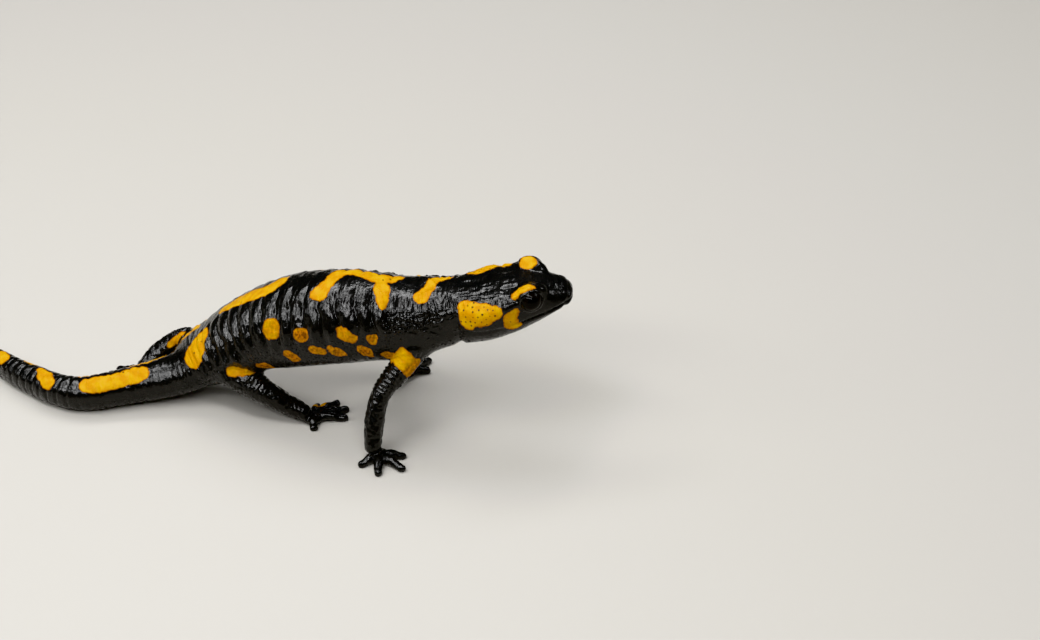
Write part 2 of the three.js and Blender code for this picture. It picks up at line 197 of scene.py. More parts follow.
LEGS = {
    "fore_right": Sizes(
        stations=limb(
            [([9.0, 16.2, 26.6], 1.3), ([6.4, 11.4, 21.4], 1.06), ([0.4, 7.2, 15.2], 0.84),
             ([-1.6, 4.3, 8.8], 0.87), ([-1.9, 1.9, 3.4], 0.72)], ARM, 0.92),
        reference=[1, 0, 0],
        palm=[-0.6, 1.4],
        toes=[(-146, 4.6), (-90, 5.8), (-38, 6.8), (8, 5.4)],
    ),
    "fore_left": Sizes(
        stations=limb(
            [([9.4, 21.2, 26.4], 1.3), ([7.4, 26.2, 22.4], 1.08), ([1.6, 32.8, 15.4], 0.94),
             ([2.0, 34.8, 8.8], 0.92), ([3.6, 35.8, 3.4], 0.72)], ARM, 0.92),
        reference=[1, 0, 0],
        palm=[4.6, 36.4],
        toes=[(8, 4.8), (44, 6.8), (82, 6.6), (124, 5.2)],
    ),
    "hind_right": Sizes(
        stations=limb(
            [([-39.4, 27.8, 10.4], 1.25), ([-35.4, 21.8, 11.0], 1.08), ([-28.4, 18.0, 8.2], 0.84),
             ([-22.6, 17.4, 4.6], 0.72), ([-18.6, 16.7, 2.7], 0.58)], THIGH, 0.94),
        reference=[0, 0, 1],
        palm=[-16.6, 16.9],
        toes=[(-83, 3.7), (2, 7.4), (27, 8.3), (50, 8.2), (82, 5.0)],
    ),
    "hind_left": Sizes(
        stations=limb(
            [([-40.4, 30.4, 10.4], 1.25), ([-43.8, 35.0, 9.4], 1.06), ([-49.2, 38.8, 7.8], 0.82),
             ([-54.0, 37.8, 5.2], 0.72), ([-57.4, 35.4, 2.9], 0.58)], THIGH, 0.94),
        reference=[0, 0, 1],
        palm=[-58.8, 34.4],
        toes=[(118, 4.2), (148, 5.8), (172, 6.8), (196, 6.6), (226, 4.8)],
    ),
}
PALM = Sizes(long=2.6, wide=2.4, thick=1.35)
TOE = Sizes(root=1.12, knuckle=1.06, tip=0.86, arch=1.6)
SOLE = 0.15
ANKLE_DOME = 1.6
SHOULDER_KNOBS = [(7.4, 10.9, 24.1), (8.8, 26.1, 24.5)]  # the heads of the arm bones, under the skin
SHOULDER_KNOB = 2.2


# ---- Sweeps through stations ----
FINE, COARSE = 60, 24  # steps between two stations, for measuring along a path and for finding places on it
CHUNK = 20000  # points whose places are looked for at a time
DOME_RINGS = 8


class Path:
    """A smooth path through stations, with the section of the animal at each place u along it."""

    def __init__(self, stations, reference=(0, 0, 1)):
        self.line = np.array([s[0] for s in stations], float)
        self.girth = np.array([s[1] for s in stations], float)
        self.square = np.array([s[2] for s in stations], float)
        self.reference = np.array(reference, float)
        self.last = len(stations) - 1

    @staticmethod
    def catmull_rom(points, u, slope=False):
        last = len(points) - 2
        i = np.clip(np.floor(u).astype(int), 0, last)
        t = (u - i)[:, None]
        padded = np.vstack([2 * points[0] - points[1], points, 2 * points[-1] - points[-2]])
        a, b, c, d = (padded[i + k] for k in range(4))
        p, q, r = c - a, 2 * a - 5 * b + 4 * c - d, 3 * b - a - 3 * c + d
        if slope:
            return 0.5 * (p + 2 * q * t + 3 * r * t * t)
        return 0.5 * (2 * b + p * t + q * t * t + r * t**3)

    def section(self, u):
        """Centre, direction, side, up, half sizes and squareness at each place in u."""
        u = np.atleast_1d(np.asarray(u, float))
        ahead = unit(self.catmull_rom(self.line, u, slope=True))
        side = unit(np.cross(self.reference, ahead))
        square = np.interp(u, np.arange(self.last + 1), self.square)
        return (self.catmull_rom(self.line, u), ahead, side, np.cross(ahead, side),
                self.catmull_rom(self.girth, u), square)

    def length_to(self, u):
        """Length along the path from its start to each place in u."""
        fine = np.linspace(0, self.last, FINE * self.last + 1)
        steps = np.linalg.norm(np.diff(self.catmull_rom(self.line, fine), axis=0), axis=1)
        return np.interp(u, fine, np.concatenate([[0], np.cumsum(steps)]))

    def coordinates(self, points):
        """Each point's place u, angle round the path, height over the swept form, and radius."""
        coarse = np.linspace(0, self.last, COARSE * self.last + 1)
        centres = self.catmull_rom(self.line, coarse)
        u = np.empty(len(points))
        for start in range(0, len(points), CHUNK):
            chunk = points[start : start + CHUNK]
            gap = (chunk**2).sum(1)[:, None] - 2 * chunk @ centres.T + (centres**2).sum(1)
            u[start : start + CHUNK] = coarse[gap.argmin(1)]
        for _ in range(3):
            slope = self.catmull_rom(self.line, u, slope=True)
            off = ((points - self.catmull_rom(self.line, u)) * slope).sum(1)
            u = np.clip(u + off / (slope**2).sum(1), 0, self.last)
        centre, _, side, up, half, square = self.section(u)
        x = ((points - centre) * side).sum(1)
        y = ((points - centre) * up).sum(1)
        height = np.where(y > 0, half[:, 1], half[:, 2])
        cosine = np.sign(x) * np.abs(x / half[:, 0]) ** (square / 2)
        sine = np.sign(y) * np.abs(y / height) ** (square / 2)
        reach = np.hypot(cosine, sine) ** (2 / square)
        radius = np.hypot(x, y)
        return u, np.arctan2(sine, cosine), (reach - 1) * radius / np.maximum(reach, 0.2), radius


def ring_points(path, u, angles, shrink=None, shift=None, relief=None):
    """Rows of points round the path: one row for each place in u, one point for each angle."""
    centre, ahead, side, up, half, square = path.section(u)
    power = (2 / square)[:, None]
    cosine, sine = np.cos(angles)[None], np.sin(angles)[None]
    x = half[:, 0, None] * np.sign(cosine) * np.abs(cosine) ** power
    height = np.where(sine > 0, half[:, 1, None], half[:, 2, None])
    y = height * np.sign(sine) * np.abs(sine) ** power
    out = 1.0 if relief is None else 1 + relief(u[:, None], angles[None]) / np.hypot(x, y)
    if shrink is not None:
        out = out * shrink[:, None]
        centre = centre + ahead * shift[:, None]
    return centre[:, None] + side[:, None] * (x * out)[..., None] + up[:, None] * (y * out)[..., None]


def closed(rows, hubs):
    """A closed form through rows of points, with a hub before the first row and after the last."""
    count, sides = rows.shape[:2]
    i, k = np.meshgrid(np.arange(count - 1), np.arange(sides), indexing="ij")
    after = (k + 1) % sides
    quads = np.stack([i * sides + k, (i + 1) * sides + k, (i + 1) * sides + after, i * sides + after], -1)
    faces = quads.reshape(-1, 4).tolist()
    hub, base = count * sides, (count - 1) * sides
    for j in range(sides):
        after = (j + 1) % sides
        faces += [(hub, j, after), (hub + 1, base + after, base + j)]
    return np.vstack([rows.reshape(-1, 3), hubs]), faces


def sweep(path, u0, u1, spacing, sides, dome0=0.0, dome1=0.0, relief=None):
    """A closed tube along the path, rounded by a dome at either end or flat where it has none."""
    run = path.length_to([u0, u1])
    steps = max(2, round((run[1] - run[0]) / spacing))
    turn = np.arange(1, DOME_RINGS) / DOME_RINGS * math.pi / 2
    front = turn[::-1] if dome0 else turn[:0]
    back = turn if dome1 else turn[:0]
    u = np.concatenate([np.full(len(front), u0), np.linspace(u0, u1, steps + 1), np.full(len(back), u1)])
    shrink = np.concatenate([np.cos(front), np.ones(steps + 1), np.cos(back)])
    shift = np.concatenate([-dome0 * np.sin(front), np.zeros(steps + 1), dome1 * np.sin(back)])
    angles = np.arange(sides) / sides * 2 * math.pi
    ends = path.section([u0, u1])
    hubs = ends[0] + ends[1] * np.array([[-dome0], [dome1]])
    return closed(ring_points(path, u, angles, shrink, shift, relief), hubs)


def ball(centre, radii, axes=np.eye(3), segments=48):
    """A ball stretched by radii along its own axes, which are the rows of axes."""
    down = np.arange(1, segments // 2)[:, None] / (segments // 2) * math.pi
    around = np.arange(segments) / segments * 2 * math.pi
    rows = np.stack(np.broadcast_arrays(np.sin(down) * np.cos(around), np.sin(down) * np.sin(around),
                                        np.cos(down)), -1)
    points, faces = closed(rows, [[0, 0, 1], [0, 0, -1]])
    return points * radii @ np.asarray(axes) + centre, faces


def mesh_object(name, points, faces):
    mesh = bpy.data.meshes.new(name)
    mesh.from_pydata(np.asarray(points).tolist(), [], faces)
    mesh.validate()
    made = bpy.data.objects.new(name, mesh)
    bpy.context.scene.collection.objects.link(made)
    return made


def read(collection, field, width, kind=np.float64):
    values = np.empty(len(collection) * width, kind)
    collection.foreach_get(field, values)
    return values.reshape(-1, width) if width > 1 else values


def settle(made):
    """Replaces an object's mesh by what its modifiers make of it."""
    evaluated = made.evaluated_get(bpy.context.evaluated_depsgraph_get())
    mesh = bpy.data.meshes.new_from_object(evaluated)
    made.modifiers.clear()
    made.data = mesh
    return made


# ---- Head ----
BODY_PATH = Path(list(BODY.values()))
head_centre, head_ahead, head_side, head_up, _, _ = (v[0] for v in BODY_PATH.section(STATION["eyes"]))
FORWARD, LEFT, CROWN = -head_ahead, -head_side, head_up
HEAD_AXES = np.array([FORWARD, LEFT, CROWN])


def in_head(forward, left, up):
    return head_centre + np.array([forward, left, up]) @ HEAD_AXES


EYE_PLACE = Sizes(forward=0.6, left=6.5, up=2.7)
LOOK = Sizes(forward=0.3, left=0.94, up=0.12)
BROW = Sizes(long=5.0, tall=2.7, wide=3.0, inward=1.3, back=0.3, lift=0.3)
NOSTRIL = Sizes(forward=7.6, left=3.1, up=1.7)


def eye_frame(hand):
    """Centre of an eye, and its axes: along the lids, up across them, and out the way it looks."""
    centre = in_head(EYE_PLACE.forward, hand * EYE_PLACE.left, EYE_PLACE.up)
    look = unit(np.array([LOOK.forward, hand * LOOK.left, LOOK.up]) @ HEAD_AXES)
    along = unit(np.cross(CROWN, look))
    return centre, np.array([along, np.cross(look, along), look])


# ---- Large forms, the same as in the solids: the parotoid glands and the sockets of the eyes ----
SWELLINGS = [
    Sizes(height=1.5, along=STATION["parotoids"] - 0.15, reach=0.85, rise=24, spread=46),
    Sizes(height=0.9, along=STATION["eyes"] + 0.05, reach=0.75, rise=32, spread=52),
]


def large_forms(u, angle):
    """How far they stand out, in mm. Their rise and spread are in degrees over the flank."""
    rise = np.degrees(np.arcsin(np.sin(angle)))
    return sum(s.height * bump(u, s.along, s.reach) * bump(rise, s.rise, s.spread) for s in SWELLINGS)


# ---- Fusing the body ----
GRID = Sizes(body=(0.45, 110), leg=(0.4, 40), toe=(0.3, 20))  # mm between rows, and points round each row


def toe(palm, degrees, reach):
    """One toe, from inside the palm or sole to its rounded tip."""
    turn = math.radians(degrees)
    root, knuckle, tip = TOE.root, TOE.knuckle, TOE.tip
    stations = []
    for share, height, half in [
        (0.1, root, [root] * 3),
        (0.5, TOE.arch, [knuckle] * 3),
        (0.8, knuckle, [0.86 * knuckle, 0.8 * knuckle, 0.8 * knuckle]),
        (1.0, tip, [tip, 0.9 * tip, tip]),
    ]:
        out = reach * share
        at = [palm[0] + out * math.cos(turn), palm[1] + out * math.sin(turn), height - SOLE]
        stations.append((at, half, ROUND))
    return sweep(Path(stations), 0, len(stations) - 1, *GRID.toe, dome1=tip)


def body_parts():
    """All the closed forms that the body is fused from."""
    last = BODY_PATH.last
    parts = [sweep(BODY_PATH, 0, last, *GRID.body, SNOUT_DOME, TAIL_DOME, large_forms)]
    for hand in (1, -1):
        centre, axes = eye_frame(hand)
        brow = centre - axes[2] * BROW.inward - FORWARD * BROW.back + CROWN * BROW.lift
        parts.append(ball(centre, np.full(3, EYE + EYE_CLEARANCE + LID)))
        parts.append(ball(brow, np.array([BROW.long, BROW.tall, BROW.wide]), axes))
    for knob in SHOULDER_KNOBS:
        parts.append(ball(np.array(knob), np.full(3, SHOULDER_KNOB)))
    for leg in LEGS.values():
        path = Path(leg.stations, leg.reference)
        parts.append(sweep(path, 0, path.last, *GRID.leg, dome1=ANKLE_DOME))
        sole = [*leg.palm, PALM.thick - SOLE]
        parts.append(ball(sole, np.array([PALM.long, PALM.wide, PALM.thick])))
        parts += [toe(leg.palm, degrees, reach) for degrees, reach in leg.toes]
    return parts


def fused_body():
    points, faces, count = [], [], 0
    for part_points, part_faces in body_parts():
        points.append(part_points)
        faces += [tuple(count + i for i in face) for face in part_faces]
        count += len(part_points)
    body = mesh_object("skin", np.vstack(points), faces)
    remesh = body.modifiers.new("fuse", "REMESH")
    remesh.mode = "VOXEL"
    remesh.voxel_size = VOXEL
    return settle(body)


EVEN_OUT = [0.5, -0.52]  # pulls that take out roughness and leave the form
ROUND_OFF = [0.5]  # a pull that also rounds creases


def relax(points, edges, pulls, weight=1.0):
    """Evens the surface out by a row of pulls, by as much as weight says at each point."""
    a, b = edges.T
    count = np.bincount(edges.ravel(), minlength=len(points))[:, None]
    for pull in pulls:
        total = np.empty_like(points)
        for axis in range(3):
            total[:, axis] = (np.bincount(a, points[b, axis], len(points))
                              + np.bincount(b, points[a, axis], len(points)))
        points = points + pull * weight * (total / count - points)
    return points


# ---- Fine forms of the skin, each in mm along the surface's normal ----
# along, first and last count stations of the body or the leg, and start and end are mm back from the snout.
# A pair such as low_end gives the degrees of rise over the flank at which a form is at nothing and at its
# full height. lean slants a pattern, and drawn_out is the width of its patches as a share of their length.
COSTAL_FOLDS = Sizes(count=16, first=STATION["shoulders"] + 0.25, last=STATION["hips"] + 0.3, height=0.35,
                     depth=0.55, bluntness=0.75, lobe=9, low_end=(-2, 12), shoulder=(62, 46), crown=(86, 72))
WRINKLES = Sizes(folds=0.2, fold_size=1.25, ripples=0.12, ripple_size=0.65, lean=0.2, warp=0.5,
                 drawn_out=0.15)
COBBLES = Sizes(height=0.6, size=2.0)
NECK_LINES = Sizes(height=0.2, size=0.75, lean=0.45, drawn_out=0.25)
HEAD_LINES = Sizes(height=0.10, size=0.75, drawn_out=0.25)
TAIL_GROOVES = Sizes(spacing=2.3, depth=0.16)
GULAR_FOLD = Sizes(along=STATION["parotoids"] + 0.86, reach=0.2, depth=0.4)
NECK_FOLD = Sizes(along=STATION["neck"] - 0.2, reach=0.13, depth=0.25)
JOINT_FOLDS = Sizes(along=1.65, reach=0.75, width=0.105, height=0.3)  # above the elbow or knee
LOOSE_SKIN = Sizes(height=0.11, size=0.9)
LEG_FURROW = Sizes(angle=math.radians(142), width=0.2, along=1.0, reach=1.5, depth=0.32)  # on the outside
# The groove that parts cheek and parotoid, as places forward and up in the head, from the jaw to the crown.
TEMPLE_GROOVE = Sizes(line=[(-4.9, -2.0), (-5.7, 0.8), (-6.4, 3.6), (-4.7, 4.7), (-2.0, 5.2)],
                      width=0.42, depth=0.36)
TEMPLE = Sizes(place=(-4.4, 3.1), reach=1.9, height=0.4)  # the swelling between that groove and the eye
JAW_FOLD = Sizes(rise=math.radians(-11), width=math.radians(3.2), start=15, end=29, soft=4, depth=0.4)
# Height of the mouth's line in the head, at each distance ahead of the eyes' middle.
MOUTH_LINE = ([-7.6, -5.6, -2, 3, 8, 14], [-4.4, -2.6, -2.2, -1.9, -1.5, -1.4])
MOUTH_CORNER = -5.4  # behind the eyes' middle, where the mouth ends
MOUTH_GROOVE = Sizes(depth=0.38, width=0.24)
LIPS = Sizes(height=0.1, apart=0.75, width=0.45)
NOSTRIL_RIM = Sizes(height=0.10, radius=0.85, width=0.35)
NOSTRIL_PIT = Sizes(depth=0.55, width=0.42)
GRAIN = [(0.04, 0.7, 41), (0.10, 3.5, 42)]  # height, size and seed of the whole skin's unevenness
FILLET = 3.2  # width of the soft fold where a leg leaves the trunk
SEAM = 0.6  # mm on either side of a crease over which the trunk's pattern passes into the leg's
LEG_RANGE = 26  # mm from the middle of a leg within which skin may belong to it


def ridges(points, size, seed):
    """A net of fine ridges, at 1 along them and down to -1 between them."""
    return 1 - 2 * np.abs(noise(points, size, seed))


def hill(away, width):
    """A smooth ridge of height 1 where away is 0, which falls off within width on either side."""
    return np.exp(-((away / width) ** 2))


class Skin:
    """The body's surface: its points, and where each of them lies on the animal."""

    def __init__(self, points, normals):
        self.points, self.normals = points, normals
        self.u, self.angle, self.body_gap, self.radius = BODY_PATH.coordinates(points)
        self.length = SNOUT_DOME + BODY_PATH.length_to(self.u)
        self.rise = np.arcsin(np.clip(np.sin(self.angle), -1, 1))
        nearest = np.zeros((3, len(points)))
        nearest[0] = np.inf
        for leg in LEGS.values():
            path = Path(leg.stations, leg.reference)
            rows = np.flatnonzero(np.linalg.norm(points - path.line.mean(0), axis=1) < LEG_RANGE)
            u, angle, gap, _ = path.coordinates(points[rows])
            closer = gap < nearest[0, rows]
            nearest[:, rows[closer]] = np.stack([gap, u, angle])[:, closer]
        self.leg_gap, self.leg_place, self.leg_angle = nearest
        self.has_leg = np.isfinite(self.leg_gap)
        self.on_body = step(-SEAM, SEAM, self.leg_gap - self.body_gap)
        self.head = (points - head_centre) @ HEAD_AXES.T
        # Places for noise that runs round the body, in mm along it and across it.
        across = np.maximum(self.radius, 1)
        self.flat = np.stack([self.length, across * np.cos(self.angle), across * np.sin(self.angle)], 1)
        self.wobble = noise(self.flat, 2.2, 2)

    def leg_root(self, width):
        """1 along the crease where a leg leaves the trunk, falling off within width."""
        near = step(3.0, 1.5, np.abs(self.body_gap)) * self.has_leg
        return hill(np.where(self.has_leg, self.leg_gap, 20) - self.body_gap, width) * near

    def fillet(self):
        """Fills the crease between leg and trunk."""
        close = np.clip(1 - np.abs(self.leg_gap - self.body_gap) / FILLET, 0, 1)
        near = step(1.5, 0.0, np.minimum(np.abs(self.leg_gap), np.abs(self.body_gap)))
        return np.where(self.has_leg, close**2 * FILLET / 4 * near, 0)

    def stretch(self, start, full, fading, end, height=1.0):
        """height between full and fading, in mm back from the snout, falling to 0 at start and end."""
        return height * step(start, full, self.length) * step(end, fading, self.length)

    def between(self, low, high, soft=10):
        """1 where the skin's rise over the flank lies between low and high degrees, soft at both ends."""
        rise = np.degrees(self.rise) + 5 * self.wobble
        return step(low - soft, low + soft, rise) * step(high + soft, high - soft, rise)

    def costal_folds(self):
        """A rounded fold of skin over each rib, with a groove on either side, that ends low on the flank."""
        g = COSTAL_FOLDS
        along = (self.u - g.first) / (g.last - g.first)
        sway = 0.22 * noise(self.flat * [0.3, 1, 1], 4.0, 3) + 0.08 * noise(self.flat, 1.6, 4)
        crest = np.abs(np.sin(math.pi * (g.count * along + sway))) ** g.bluntness
        fade = step(-0.06, 0.04, along) * step(1.06, 0.94, along)
        rise = np.degrees(self.rise) + 3 * self.wobble
        upper = 0.6 * step(*g.shoulder, rise) + 0.4 * step(*g.crown, rise)
        side = step(*g.low_end, rise + g.lobe * crest) * upper
        return (g.height * crest - g.depth * (1 - crest)) * fade * side

    def wrinkles(self):
        """Loose folds of skin that run down the flanks, and finer ripples between them."""
        g = WRINKLES
        warp = g.warp * noise(self.flat, 3.0, 11)[:, None]
        lean = self.flat[:, :1] + g.lean * self.flat[:, 2:] + warp
        place = np.hstack([lean, g.drawn_out * self.flat[:, 1:]])
        both = g.folds * cells(place, g.fold_size, 5) + g.ripples * ridges(place, g.ripple_size, 6)
        flank = 0.25 + 0.75 * self.between(2, 48, 13)
        tail = self.stretch(96, 110, 150, 172, 0.3)
        return both * (self.stretch(27, 35, 96, 110) * flank + tail)

    def cobbles(self):
        """Pebbled skin over the shoulder and down the side of the neck."""
        region = bump(self.length, 33.5, 11) * self.between(2, 42)
        return COBBLES.height * cells(self.flat, COBBLES.size, 15) * region

    def neck_lines(self):
        """Fine slanting lines on the side of the neck."""
        g = NECK_LINES
        place = self.flat * [1, g.drawn_out, g.drawn_out]
        place[:, 0] -= g.lean * self.flat[:, 2]
        region = self.stretch(20, 25, 32, 38) * self.between(25, 72)
        return g.height * ridges(place, g.size, 23) * region

    def head_lines(self):
        """Fine lines that run back from between the eyes over the top of the head."""
        g = HEAD_LINES
        region = self.stretch(10, 14, 23, 29) * self.between(42, 110)
        return g.height * ridges(self.flat * [g.drawn_out, 1, 1], g.size, 21) * region

    def temples(self):
        """The groove behind each cheek, and the swelling between it and the eye."""
        places = self.head[:, [0, 2]]
        outside = step(2.0, 4.0, np.abs(self.head[:, 1])) * (self.u < STATION["neck"])
        line = [(*place, 0.0) for place in TEMPLE_GROOVE.line]
        groove = hill(patch_gap(places, line), TEMPLE_GROOVE.width)
        swelling = bump(np.linalg.norm(places - TEMPLE.place, axis=1), 0, TEMPLE.reach)
        return (TEMPLE.height * swelling - TEMPLE_GROOVE.depth * groove) * outside

    def jaw_fold(self):
        """A fold of skin under each parotoid gland."""
        g = JAW_FOLD
        sway = math.radians(2) * noise(self.flat, 4, 51)
        furrow = -g.depth * hill(self.rise - g.rise + sway, g.width)
        return self.stretch(g.start, g.start + g.soft, g.end - g.soft, g.end, furrow)

    def tail_grooves(self):
        """Shallow rings round the tail."""
        g = TAIL_GROOVES
        phase = 2 * math.pi * (self.length / g.spacing + 0.25 * noise(self.flat, 6, 8))
        furrow = -np.clip(0.5 + 0.5 * np.cos(phase), 0, 1) ** 4
        return self.stretch(100, 108, 150, 170, g.depth * furrow)

    def throat_folds(self):
        """The fold across the throat, and a slighter one up the side of the neck."""
        below = step(math.radians(10), math.radians(-35), self.rise)
        gular = bump(self.u, GULAR_FOLD.along, GULAR_FOLD.reach) * below
        sides = step(math.radians(45), math.radians(5), self.rise)
        neck = bump(self.u + 0.12 * noise(self.flat, 4, 9), NECK_FOLD.along, NECK_FOLD.reach) * sides
        return -(GULAR_FOLD.depth * gular + NECK_FOLD.depth * neck)

    def mouth(self):
        """The groove between the lips, and the lips' rolled edges."""
        forward, _, up = self.head.T
        away = up - np.interp(forward, *MOUTH_LINE)
        ahead = step(MOUTH_CORNER - 0.6, MOUTH_CORNER + 0.8, forward)
        lips = hill(np.abs(away) - LIPS.apart, LIPS.width) * step(MOUTH_CORNER, 2, forward)
        groove = MOUTH_GROOVE.depth * hill(away, MOUTH_GROOVE.width)
        return np.where(self.u < STATION["parotoids"], (LIPS.height * lips - groove) * ahead, 0)

    def nostrils(self):
        """A pit with a low rim for each nostril."""
        total = np.zeros(len(self.points))
        for hand in (1, -1):
            centre = in_head(NOSTRIL.forward, hand * NOSTRIL.left, NOSTRIL.up)
            far = np.linalg.norm(self.points - centre, axis=1)
            rim = NOSTRIL_RIM.height * hill(far - NOSTRIL_RIM.radius, NOSTRIL_RIM.width)
            total += rim - NOSTRIL_PIT.depth * hill(far, NOSTRIL_PIT.width)
        return total

    def limb_folds(self):
        """Folds across the elbow and knee, and looser skin along the rest of the leg."""
        g, furrow = JOINT_FOLDS, LEG_FURROW
        warp = 0.35 * noise(self.points, 2.0, 31)
        rings = np.abs(np.sin(math.pi * (self.leg_place / g.width + warp))) ** 0.8
        joint = g.height * bump(self.leg_place, g.along, g.reach)
        loose = LOOSE_SKIN.height * ridges(self.points, LOOSE_SKIN.size, 32)
        line = hill(self.leg_angle - furrow.angle + 0.3 * warp, furrow.width)
        line *= bump(self.leg_place, furrow.along, furrow.reach)
        return rings * joint + loose - furrow.depth * line

    def grain(self):
        """Fine unevenness of the whole skin."""
        return sum(height * noise(self.points, size, seed) for height, size, seed in GRAIN)

    def relief(self):
        """All the fine forms: those of the trunk, head and tail, those of the legs, and those of both."""
        body = (self.costal_folds, self.wrinkles, self.cobbles, self.neck_lines, self.head_lines,
                self.temples, self.jaw_fold, self.tail_grooves, self.throat_folds)
        both = (self.fillet, self.mouth, self.nostrils, self.grain)
        return (self.on_body * sum(form() for form in body) + (1 - self.on_body) * self.limb_folds()
                + sum(form() for form in both))


# ---- Lids ----
OPENING = (math.radians(74), math.radians(68))  # half angles of the gap between the lids, along and across
OPENING_DROP = math.radians(6)  # how far the gap is turned down from the line of sight
# The skin's distance from the eye's centre, at each angle from the line of sight as a share of the gap's.
LID_PROFILE = ([0.0, 0.88, 0.95, 1.02, 1.12, 1.24, 1.42, 1.65, 2.0],
               [2.35, 2.45, 2.8, 2.93, 3.03, 3.09, 3.1, 3.2, 3.4])
# Where the profile lets go of the skin: by that share, by distance from the centre, and behind the eye.
LID_HOLD = Sizes(share=(2.2, 1.5), far=(6.5, 4.8), ahead=(-0.2, 0.5))


def shape_lids(points):
    """Sinks the skin behind each eyeball and rolls the rim of its lids."""
    for hand in (1, -1):
        centre, axes = eye_frame(hand)
        local = (points - centre) @ axes.T
        far = np.linalg.norm(local, axis=1)
        along = np.arctan2(local[:, 0], local[:, 2]) / OPENING[0]
        across = (np.arctan2(local[:, 1], local[:, 2]) + OPENING_DROP) / OPENING[1]
        share = np.hypot(along, across)
        hold = (step(*LID_HOLD.share, share) * step(*LID_HOLD.far, far)
                * step(*LID_HOLD.ahead, local[:, 2]))
        scale = 1 + hold * (np.interp(share, *LID_PROFILE) / np.maximum(far, 0.1) - 1)
        points = centre + (local * scale[:, None]) @ axes
    return points


